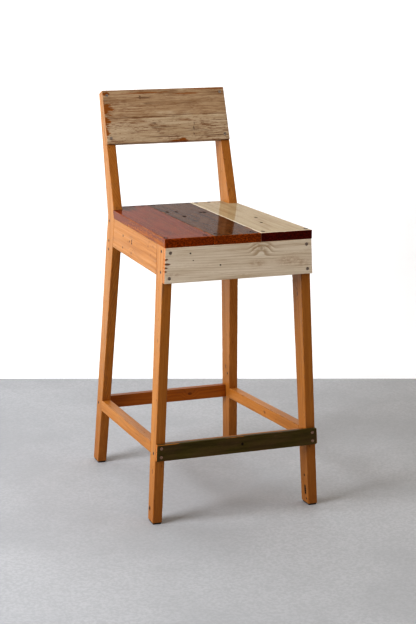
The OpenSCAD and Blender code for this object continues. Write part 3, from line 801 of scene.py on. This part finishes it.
def taupe_paint(piece, seed):
    """Weathered taupe paint, browner towards the top, cracked along the grain and worn at the edges."""
    s = Shader("taupe_paint", seed)
    start = BACKREST[0][3]
    length = (BACKREST[1][3] - start).length
    rise = BACKREST[0][2] - start

    def at(across, above):
        """Local position at a share of the board's length and of its height."""
        return on_board(piece, start + RIGHT * (length * across) + rise * above)

    def marks(soft, ragged, *places):
        """Spots at shares of the board's length and height, with half sizes in mm."""
        return s.spots([(*at(across, above), long * MM, high * MM) for across, above, long, high in places],
                       soft, ragged)

    wood = pine(s, WORN_PINE, **PAINTED_CUT)
    lines = s.noise((9, 210, 210), detail=6, roughness=0.7, distortion=0.15, shift=(2, 7, 5))
    patches = s.noise((13, 40, 40), detail=5, roughness=0.64, shift=(5, 1, 8))
    fingers = s.noise((60, 300, 300), detail=4, roughness=0.68, shift=(3, 3, 6))
    tone = s.noise((7, 90, 90), detail=5, roughness=0.68, shift=(8, 3, 1))
    crumbs = s.noise((110, 620, 620), detail=3, roughness=0.62, shift=(1, 9, 3))
    chipping = s.noise((38, 330, 330), detail=4, roughness=0.66, distortion=0.2, shift=(9, 4, 4))
    fresh, browned = [s.ramp(tone, [(0.32, dark), (0.48, mid), (0.66, light)])
                      for light, mid, dark in (TAUPE, BROWNED_TAUPE)]
    middle = at(0.5, 0.42)[1]
    aged = s.step(s.add(s.y, s.mul(s.sub(patches, 0.5), 0.10)), middle - 8 * MM, middle + 20 * MM)
    flakes = s.step(s.add(s.mul(chipping, 0.60), s.mul(crumbs, 0.25), s.mul(patches, 0.35)), 0.638, 0.680)
    flakes = s.mul(flakes, s.math("MULTIPLY_ADD", aged, -0.45, 1.0))
    lifted = s.step(s.add(s.mul(chipping, -0.60), s.mul(patches, 0.35)), -0.075, -0.02)
    haze = s.step(s.add(s.mul(lines, 0.6), s.mul(patches, 0.4)), 0.46, 0.64)
    streaks = s.step(s.noise((15, 520, 520), detail=4, roughness=0.62, shift=(4, 6, 6)), 0.50, 0.64)
    ridge = marks(0.8, fingers, (0.42, 0.44, 60, 1.1), (0.88, 0.47, 48, 1.0), (0.62, 0.47, 22, 0.9))
    splits = marks(0.5, fingers, (0.40, 0.475, 64, 0.8), (0.62, 0.505, 40, 0.8), (0.90, 0.50, 44, 0.8),
                   (0.14, 0.475, 36, 0.7), (0.93, 0.38, 26, 0.8), (0.45, 0.10, 50, 0.8),
                   (0.90, 0.09, 42, 0.9), (0.45, 0.28, 34, 0.7))
    cracks = s.cracks(6, (5, 380, 380), 0.014)
    upright = marks(0.3, None, (0.712, 0.24, 0.9, 5), (0.708, 0.13, 0.8, 3), (0.718, 0.33, 0.7, 2.5))
    knot = marks(0.4, patches, (0.298, 0.86, 2.4, 4.6), (0.33, 0.845, 18, 1.6), (0.39, 0.36, 6, 1.7),
                 (0.42, 0.20, 5, 1.4))
    bare = marks(0.16, s.math("MULTIPLY_ADD", fingers, 1.5, -0.25), (0.0, 0.66, 17, 15), (0.0, 0.42, 12, 11),
                 (0.0, 0.23, 9, 10), (0.02, 0.93, 8, 4), (0.62, 0.02, 11, 5.5), (0.56, 0.01, 26, 2.6))
    faded = marks(0.5, fingers, (0.35, 0.935, 50, 2.0), (0.68, 0.90, 30, 2.0), (0.92, 0.985, 60, 3.0))
    rim = s.mul(s.step(s.attribute("edge"), 0.86, 1.0), s.step(fingers, 0.36, 0.56))
    bare = s.most(bare, s.mul(s.most(faded, rim), 0.75))
    nicks = marks(0.3, fingers, *[(1.0, above, 3.4, 1.5) for above in (0.78, 0.60, 0.47, 0.38, 0.30)])
    sawn = s.mix(s.step(s.fibre, 0.3, 0.7), (0.33, 0.160, 0.062), (0.41, 0.230, 0.115))
    colour = s.layers(s.mix(aged, fresh, browned),
                      (haze, 0.42, (0.27, 0.145, 0.068)),
                      (streaks, s.math("MULTIPLY_ADD", aged, 0.30, 0.26), (0.20, 0.092, 0.038)),
                      (lifted, 0.30, (0.66, 0.55, 0.41)),
                      (flakes, 0.72, (0.190, 0.088, 0.040)),
                      (s.step(crumbs, 0.52, 0.70), 0.30, (0.27, 0.150, 0.070)),
                      (ridge, 0.8, (0.64, 0.53, 0.38)),
                      (splits, 0.65, (0.130, 0.055, 0.024)),
                      (cracks, 0.7, (0.110, 0.047, 0.021)),
                      (upright, 0.85, (0.035, 0.018, 0.014)),
                      (knot, 0.6, (0.10, 0.042, 0.020)),
                      (bare, 0.95, wood),
                      (nicks, 1.0, (0.035, 0.014, 0.008)),
                      (s.attribute("end"), 1.0, sawn))
    height = s.add(s.mul(bare, -0.6), s.mul(cracks, -0.8), s.mul(splits, -0.9), s.mul(nicks, -1.0),
                   s.mul(upright, -0.8), s.mul(flakes, -0.3), s.mul(s.fibre, 0.2), s.mul(ridge, 0.6))
    return s.finish(colour, s.step(bare, 0, 1, 0.6, 0.5), height, relief=0.5 * MM, specular=0.15)


RED_BROWN = ((0.27, 0.062, 0.022), (0.215, 0.043, 0.014), (0.12, 0.020, 0.007))
GREY_BROWN = ((0.130, 0.058, 0.028), (0.100, 0.041, 0.017), (0.056, 0.021, 0.009))
CREAM_SEAT = ((0.50, 0.40, 0.265), (0.445, 0.345, 0.215), (0.34, 0.24, 0.135))
SEAT_WOOD = ((0.38, 0.15, 0.045), (0.30, 0.105, 0.028), (0.15, 0.045, 0.012))
YELLOWED_PINE = ((0.40, 0.24, 0.11), (0.32, 0.18, 0.075), (0.17, 0.08, 0.03))
LACQUER = dict(coat=0.3, coat_roughness=0.04, relief=0.12 * MM, specular=0.0)


def red_brown_paint(piece, seed):
    """Red-brown paint under thick lacquer, worn to fine orange speckles and rubbed on its outer edge. A
    painted reflection of the post darkens the seat in front of it.
    """
    # Middle of the painted reflection of the post, on the seat just in front of it
    back = on_board(piece, place(-128, 440, 650))
    seam_y = max(on_board(piece, piece.matrix_world @ Vector(p))[1] for p in piece.bound_box)

    def speckled(s, exposure, paint, patches):
        specks = s.noise((150, 420, 420), detail=3, roughness=0.7, shift=(1, 2, 7))
        pits = s.step(s.noise((90, 300, 300), detail=2, shift=(7, 7, 1)), 0.66, 0.72)
        side = s.step(s.z, 8.2 * MM, 9.2 * MM, 1.0, 0.0)
        below = s.step(s.z, -2 * MM, 7 * MM, 1.0, 0.0)
        front = s.step(s.x, 120 * MM, 330 * MM, 1.0, 0.25)
        ragged_y = s.add(s.y, s.mul(s.sub(patches, 0.5), 34 * MM))
        seam = s.mul(s.step(ragged_y, seam_y - 11 * MM, seam_y - 4 * MM),
                     s.step(s.x, 60 * MM, 260 * MM, 1.0, 0.2))
        worn = s.mul(s.step(specks, 0.50, 0.66), s.add(s.mul(seam, 0.22), 0.20))
        paint = s.layers(paint,
                         # Painted reflection of the post: a dark brown patch on the seat in front of it
                         (s.spot(*back, 40 * MM, 34 * MM, 0.3, patches), 0.85, (0.10, 0.050, 0.028)),
                         (s.step(patches, 0.46, 0.62), 0.40, (0.135, 0.036, 0.015)),
                         (pits, 0.8, (0.05, 0.016, 0.009)),
                         (side, 0.85, (0.165, 0.062, 0.040)))
        return s.add(exposure, worn, s.mul(side, below, front, 0.17)), paint

    return painted("red_brown_paint", seed, piece, SEAT_WOOD, RED_BROWN, (0.60, 0.76), speckled,
                   (0.27, 0.055, 0.003), **LACQUER)


def grey_brown_paint(piece, seed):
    """Grey-brown worn paint under thick lacquer, pitted and rubbed at the front."""

    def pitted(s, exposure, paint, patches):
        pits = s.step(s.noise((70, 240, 240), detail=2, shift=(7, 7, 1)), 0.66, 0.72)
        paint = s.layers(paint, (s.step(patches, 0.48, 0.64), 0.40, (0.165, 0.078, 0.034)),
                         (pits, 0.6, (0.03, 0.012, 0.008)))
        return s.add(exposure, s.step(s.x, 20 * MM, 190 * MM, 0.07, 0.0)), paint

    return painted("grey_brown_paint", seed, piece, SEAT_WOOD, GREY_BROWN, (0.6, 0.78), pitted,
                   (0.28, 0.062, 0.003), **LACQUER)


def cream_seat_paint(piece, seed):
    """Cream paint gone yellow under thick lacquer, with faint brown streaks and a painted highlight along
    its edges.
    """

    def streaked(s, exposure, paint, patches):
        streaks = s.step(s.noise((6, 260, 260), detail=4, roughness=0.6, shift=(7, 7, 1)), 0.56, 0.72)
        # Painted highlight: a lighter cream along the plank's edges
        edge_highlight = s.step(s.attribute("edge"), 0.55, 0.95)
        return exposure, s.layers(paint, (streaks, 0.35, (0.30, 0.19, 0.095)),
                                  (edge_highlight, 0.75, (0.70, 0.61, 0.47)))

    return painted("cream_seat_paint", seed, piece, YELLOWED_PINE, CREAM_SEAT, (0.68, 0.86), streaked,
                   (0.100, 0.008, 0.002), **LACQUER)


OLIVE = ((0.118, 0.090, 0.026), (0.090, 0.067, 0.018), (0.047, 0.034, 0.009))


def olive_paint(piece, seed):
    """Dark olive paint, rubbed along the edges and scratched by shoes."""

    def scratched(s, exposure, paint, patches):
        scratches = s.noise((22, 900, 900), detail=2, roughness=0.4, distortion=0.5, shift=(3, 9, 5))
        scratch = s.mul(s.step(scratches, 0.66, 0.72), s.step(patches, 0.5, 0.62))
        return exposure, s.layers(paint, (s.step(patches, 0.42, 0.60), 0.30, (0.115, 0.062, 0.036)),
                                  (scratch, 0.5, (0.20, 0.12, 0.085)))

    return painted("olive_paint", seed, piece, PINE, OLIVE, (0.70, 0.82), scratched, (0.45, 0.17, 0.04),
                   relief=0.25 * MM, roughness=(0.42, 0.6))


# ---------------------------------------------------------------- materials of the fasteners

def steel(name, tone, grime, seed, metallic=0.85):
    """Used steel with fine scratches and dirt in the drive; a low metallic value makes it dull."""
    s = Shader(name, seed, board=False)
    scratches = s.noise((2600, 700, 1900), detail=3, roughness=0.6)
    darkening = s.noise((420, 420, 420), detail=4, roughness=0.65, shift=(2, 2, 2))
    colour = s.mix(s.step(darkening, 0.42, 0.66), tone, grime)
    s.bsdf.inputs["Metallic"].default_value = metallic
    return s.finish(colour, s.step(scratches, 0.2, 0.8, 0.3, 0.55), s.add(scratches, s.mul(darkening, 0.6)),
                    relief=0.05 * MM)


def black_plastic():
    """Matt black glide plastic with a fine moulded texture and scuffs."""
    s = Shader("black_glide", 61, board=False)
    texture = s.noise((1500, 1500, 1500), detail=2)
    scuffs = s.noise((120, 120, 600), detail=4, roughness=0.7, shift=(1, 4, 2))
    colour = s.mix(s.step(scuffs, 0.5, 0.75), (0.014, 0.013, 0.012), (0.06, 0.056, 0.05))
    return s.finish(colour, s.step(scuffs, 0.3, 0.8, 0.45, 0.7), s.add(texture, scuffs), relief=0.08 * MM)


# ---------------------------------------------------------------- the stool

# Play between a post and the boards let into it, and how far a cutter reaches past the wood
REBATE_PLAY = 0.3 * MM
REBATE_BEYOND = 20 * MM
REBATE_INWARD = 60 * MM
NOTCH_PLAY = 0.4 * MM
NOTCH_BEYOND = 14 * MM
NOTCH_BELOW = 8 * MM
NOTCH_ABOVE = 40 * MM


def rebate_cutter(side):
    """Solid a touch bigger than the end of the backrest board, reaching up and out past the post."""
    bottom_back, top_back, top_front, bottom_front = BACKREST[0] if side is LEFT else BACKREST[1]
    up = backrest_up(side)
    front = (bottom_front - bottom_back).normalized()
    below, behind = up * -REBATE_PLAY, front * -REBATE_PLAY
    above, before = up * REBATE_BEYOND, front * REBATE_BEYOND
    ring = [bottom_back + below + behind, top_back + above + behind,
            top_front + above + before, bottom_front + below + before]
    inner = [p - side * REBATE_INWARD for p in ring]
    outer = [p + side * REBATE_BEYOND for p in ring]
    return hexahedron(outer, inner) if side is LEFT else hexahedron(inner, outer)


def notch_cutter(side):
    """Solid around the foot of a post, open to the outside and the back of the seat."""
    node = "back_left_leg" if side is LEFT else "back_right_leg"
    bend = back_leg_stations(node, side)[1]
    up = backrest_up(side)
    centre = sum(bend, Vector()) / 4
    ring = []
    for p in bend:
        outward = side * NOTCH_BEYOND if (p - centre).dot(side) > 0 else side * -NOTCH_PLAY
        rearward = BACKWARD * NOTCH_BEYOND if p.y > centre.y else FORWARD * NOTCH_PLAY
        ring.append(p + outward + rearward)
    return hexahedron([p - up * NOTCH_BELOW for p in ring], [p + up * NOTCH_ABOVE for p in ring])


def old_nail_holes(piece, axis, marks):
    """Cutter spots for old nail holes: marks are (point, radius in mm), seen from the axis side."""
    spots = []
    back = piece.matrix_world.inverted()
    aim = (back.to_3x3() @ -axis).normalized()
    for point, radius in marks:
        hit, local, _, _ = piece.ray_cast(back @ (point + axis * 80 * MM), aim)
        if hit:
            spots.append((piece.matrix_world @ local, axis, radius * MM, OLD_HOLE_DEPTH))
    return spots


def make_piece(node, stations, material, seed, radius=1.3, heads=(), cutters=()):
    """Builds the lofted, carved and finished board that stands for one CAD node.

    Radius is that of its worn edges in mm. Heads names the nodes whose heads are let into it."""
    piece, wear = board_mesh(node + "_board", stations, radius * MM)
    spots = near_piece(head_recesses(*heads), piece)
    if node in NAIL_HOLES:
        spots += old_nail_holes(piece, *NAIL_HOLES[node])
    if spots:
        carve(piece, hole_cutter(spots))
    for cutter in cutters:
        carve(piece, cutter)
    finish = material(piece, seed)
    mark_wear(piece, wear)
    smooth(piece)
    piece.data.materials.clear()
    piece.data.materials.append(finish)
    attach(piece, "root")
    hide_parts(node)


def make_legs():
    for seed, (side, word) in enumerate(SIDES, 1):
        node = "front_%s_leg" % word
        make_piece(node, board_stations(node, UP, side), leg_pine, seed,
                   heads=("front_rail_screws", "front_stretcher_screws"))
        node = "back_%s_leg" % word
        make_piece(node, back_leg_stations(node, side), leg_pine, seed + 2,
                   heads=("back_rail_screws", "back_stretcher_screws"), cutters=[rebate_cutter(side)])


# The pieces that run across the stool: slot and material
CROSS_PIECES = {"front_rail": ("inner_pine", inner_pine), "back_rail": ("inner_pine", inner_pine),
                "front_stretcher": ("pine_rails", rail_pine), "back_stretcher": ("pine_rails", inner_pine)}


def make_rails():
    for first_seed, (side, word) in enumerate(SIDES, 5):
        for node, seed in (("%s_side_rail", first_seed), ("%s_side_stretcher", first_seed + 2)):
            node = node % word
            make_piece(node, board_stations(node, BACKWARD, side), rail_pine, seed)
    for seed, (node, (slot, material)) in enumerate(CROSS_PIECES.items(), 9):
        make_piece(node, board_stations(node, RIGHT, BACKWARD), material, seed)


def make_painted_boards():
    make_piece("front_apron_board", board_stations("front_apron_board", RIGHT, FORWARD),
               cream_wash, 13, radius=0.9, heads=("apron_screws",))
    make_piece("footrest_strip", board_stations("footrest_strip", RIGHT, FORWARD),
               olive_paint, 14, radius=1.1, heads=("footrest_screws",))
    make_piece("backrest_board", BACKREST, taupe_paint, 15, heads=("backrest_screws",))


def make_seat():
    heads = ("seat_nails", "seat_edge_screws")
    make_piece("seat_plank_left", seat_stations("seat_plank_left", LEFT),
               red_brown_paint, 16, radius=1.7, heads=heads, cutters=[notch_cutter(LEFT)])
    make_piece("seat_plank_middle", seat_stations("seat_plank_middle"),
               grey_brown_paint, 17, radius=1.5, heads=heads)
    make_piece("seat_plank_right", seat_stations("seat_plank_right", RIGHT),
               cream_seat_paint, 18, radius=1.5, heads=heads, cutters=[notch_cutter(RIGHT)])


def finish_hardware():
    """Gives the CAD fasteners and glides their procedural materials, by the ends of their names."""
    dark_steel = steel("steel_screws", (0.13, 0.12, 0.11), (0.05, 0.035, 0.025), 41)
    pale_steel = steel("pale_steel", (0.40, 0.34, 0.30), (0.15, 0.095, 0.065), 44, 0.4)
    copper = steel("copper_screws", (0.52, 0.36, 0.29), (0.24, 0.13, 0.09), 42)
    finishes = {"glide": black_plastic(), "dowels": oiled_pine("dowel_wood", 43), "footrest_screws": copper,
                "apron_screws": pale_steel, "backrest_screws": pale_steel, "screws": dark_steel,
                "nails": dark_steel}
    for name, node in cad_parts.items():
        material = next((m for ending, m in finishes.items() if name.endswith(ending)), None)
        if material:
            for slot in node.material_slots:
                slot.material = material


# ---------------------------------------------------------------- stage, light, camera

CAMERA_AZIMUTH = math.radians(-20.32)
CAMERA_ELEVATION = math.radians(12.54)
CAMERA_DISTANCE = 3.8
CAMERA_AIM = Vector((-0.005, -0.084, 0.4425))
CAMERA_LENS = 94.57
CAMERA_SHIFT = -0.0035

FLOOR_TONE = (0.425, 0.425, 0.43)
WALL_TONE = (0.80, 0.80, 0.80)
WALL_GLOW = 0.22
WALL_BEHIND = 1.04
WALL_HEIGHT = 5.0
STAGE_HALF = 6.0
FLOOR_SPECKLING = 0.16
WALL_SPECKLING = 0.01


def studio_material(name, tone, seed, speckling, glow):
    """Faintly mottled studio paint that can't be seen from behind, so the stage hides no view."""
    s = Shader(name, seed, board=False)
    mottle = s.noise((3.0, 3.0, 3.0), detail=6, roughness=0.6)
    speckle = s.noise((160, 160, 160), detail=3)
    colour = s.mix(s.step(mottle, 0.3, 0.7), shade(tone, 1.07), shade(tone, 0.93))
    colour = s.layers(colour, (s.step(speckle, 0.35, 0.65), 0.6, shade(tone, 1 - speckling)))
    s.bsdf.inputs["Emission Color"].default_value = (1, 1, 1, 1)
    s.bsdf.inputs["Emission Strength"].default_value = glow
    material = s.finish(colour, s.step(mottle, 0.2, 0.8, 0.62, 0.72), mottle, relief=0.2 * MM, specular=0.2)
    behind = s.node("NewGeometry", {}).outputs["Backfacing"]
    clear = s.node("BsdfTransparent", {}).outputs[0]
    sides = s.node("MixShader", {0: behind, 1: s.bsdf.outputs[0], 2: clear})
    s.put(s.nodes["Material Output"].inputs["Surface"], sides.outputs[0])
    return material


def stage_plane(name, corners, material):
    mesh = bpy.data.meshes.new(name)
    mesh.from_pydata(corners, [], [[0, 1, 2, 3]])
    mesh.materials.append(material)
    plane = bpy.data.objects.new(name, mesh)
    bpy.context.scene.collection.objects.link(plane)


def make_stage():
    """Pale grey floor, and a plain white backdrop behind the stool, square to the camera."""
    away = Vector((-math.sin(CAMERA_AZIMUTH), math.cos(CAMERA_AZIMUTH), 0))
    aside = away.cross(UP) * STAGE_HALF
    middle = Vector((CAMERA_AIM.x, CAMERA_AIM.y, 0)) + away * WALL_BEHIND
    near, far, top = middle - away * 2 * STAGE_HALF, middle + away * STAGE_HALF, middle + UP * WALL_HEIGHT
    stage_plane("studio_floor", [near - aside, near + aside, far + aside * 2, far - aside * 2],
                studio_material("studio_floor", FLOOR_TONE, 51, FLOOR_SPECKLING, 0.0))
    stage_plane("studio_backdrop", [middle - aside, middle + aside, top + aside, top - aside],
                studio_material("studio_backdrop", WALL_TONE, 52, WALL_SPECKLING, WALL_GLOW))


def area_light(name, location, target, size, power, colour):
    data = bpy.data.lights.new(name, "AREA")
    data.shape, data.size, data.energy, data.color = "SQUARE", size, power, colour
    light = bpy.data.objects.new(name, data)
    light.location = location
    light.rotation_euler = (Vector(target) - Vector(location)).to_track_quat("-Z", "Y").to_euler()
    bpy.context.scene.collection.objects.link(light)


# Brightness and colour of the world as it lights the stool, and as the camera sees it past the stage
WORLD_LIGHT = 0.24
WORLD_WARMTH = (1.0, 0.89, 0.74, 1)
WORLD_SEEN = 0.95


def make_world():
    """A dim warm surround that the camera itself sees as plain white."""
    world = bpy.data.worlds.new("studio_world")
    world.use_nodes = True
    nodes, links = world.node_tree.nodes, world.node_tree.links
    lighting = nodes["Background"]
    lighting.inputs["Color"].default_value = WORLD_WARMTH
    lighting.inputs["Strength"].default_value = WORLD_LIGHT
    seen = nodes.new("ShaderNodeBackground")
    seen.inputs["Color"].default_value = (1, 1, 1, 1)
    seen.inputs["Strength"].default_value = WORLD_SEEN
    choice = nodes.new("ShaderNodeMixShader")
    links.new(nodes.new("ShaderNodeLightPath").outputs["Is Camera Ray"], choice.inputs[0])
    links.new(lighting.outputs[0], choice.inputs[1])
    links.new(seen.outputs[0], choice.inputs[2])
    links.new(choice.outputs[0], nodes["World Output"].inputs["Surface"])
    bpy.context.scene.world = world


def make_lights():
    middle = (0, 0, 0.45)
    area_light("key_light", (-3.3, -0.6, 1.9), middle, 2.0, 138, (0.95, 1.0, 1.08))
    area_light("fill_light", (0.9, -3.8, 2.2), middle, 2.4, 11, (1.0, 0.90, 0.76))
    area_light("side_light", (2.9, -0.7, 1.6), middle, 1.6, 18, (1.0, 0.97, 0.92))
    make_world()
    bpy.context.scene.view_settings.view_transform = "Standard"
    bpy.context.scene.view_settings.look = "High Contrast"


def make_camera():
    data = bpy.data.cameras.new("camera")
    data.lens, data.sensor_width, data.sensor_fit = CAMERA_LENS, 36, "AUTO"
    data.shift_y = CAMERA_SHIFT
    data.clip_end = 60
    back = Vector((math.sin(CAMERA_AZIMUTH) * math.cos(CAMERA_ELEVATION),
                   -math.cos(CAMERA_AZIMUTH) * math.cos(CAMERA_ELEVATION), math.sin(CAMERA_ELEVATION)))
    camera = bpy.data.objects.new("camera", data)
    camera.location = CAMERA_AIM + back * CAMERA_DISTANCE
    camera.rotation_euler = (-back).to_track_quat("-Z", "Y").to_euler()
    bpy.context.scene.collection.objects.link(camera)
    bpy.context.scene.camera = camera


make_legs()
make_rails()
make_painted_boards()
make_seat()
finish_hardware()
make_stage()
make_lights()
make_camera()
